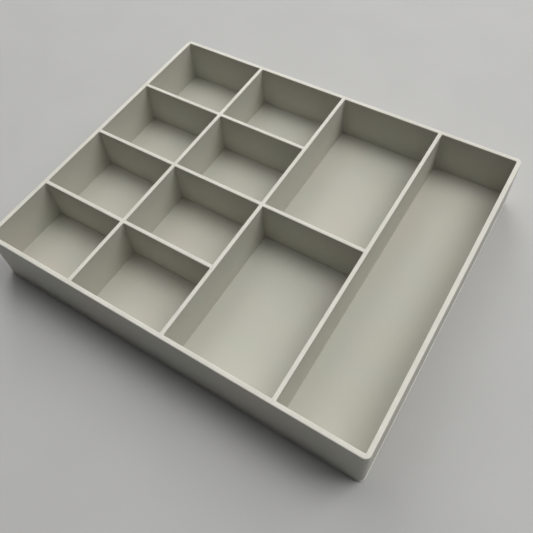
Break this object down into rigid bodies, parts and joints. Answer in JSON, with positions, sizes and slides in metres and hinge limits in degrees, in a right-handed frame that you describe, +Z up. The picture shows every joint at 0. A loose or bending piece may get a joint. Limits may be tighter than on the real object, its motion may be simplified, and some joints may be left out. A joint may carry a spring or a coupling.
{
  "type": "drawer organizer insert",
  "caption": "Shallow open tray with long and cross dividers slotted into its walls and floor, making compartments of several sizes for a desk drawer, on round rubber pads.",
  "frame": {"origin": "centre of the rectangular footprint, on the surface that the rubber pads stand on", "axes": "+X runs left to right along the longer side, towards the column without cross dividers; +Y from the front wall to the back wall; +Z up"},
  "size_m": [0.3008, 0.2488, 0.047],
  "materials": {
    "tray_plastic": "matte, fine satin grain",
    "divider_plastic": "matte, fine satin grain, same plastic as the tray",
    "pad_rubber": "matt black rubber"
  },
  "bodies": {
    "root": {"tray_shell": "tray_plastic", "long_divider_left": "divider_plastic", "long_divider_centre": "divider_plastic", "long_divider_right": "divider_plastic", "cross_divider_left_front": "divider_plastic", "cross_divider_left_middle": "divider_plastic", "cross_divider_left_back": "divider_plastic", "cross_divider_centre_left_front": "divider_plastic", "cross_divider_centre_left_middle": "divider_plastic", "cross_divider_centre_left_back": "divider_plastic", "cross_divider_centre_right": "divider_plastic", "pad_front_left": "pad_rubber", "pad_front_right": "pad_rubber", "pad_back_left": "pad_rubber", "pad_back_right": "pad_rubber"}
  },
  "joints": []
}
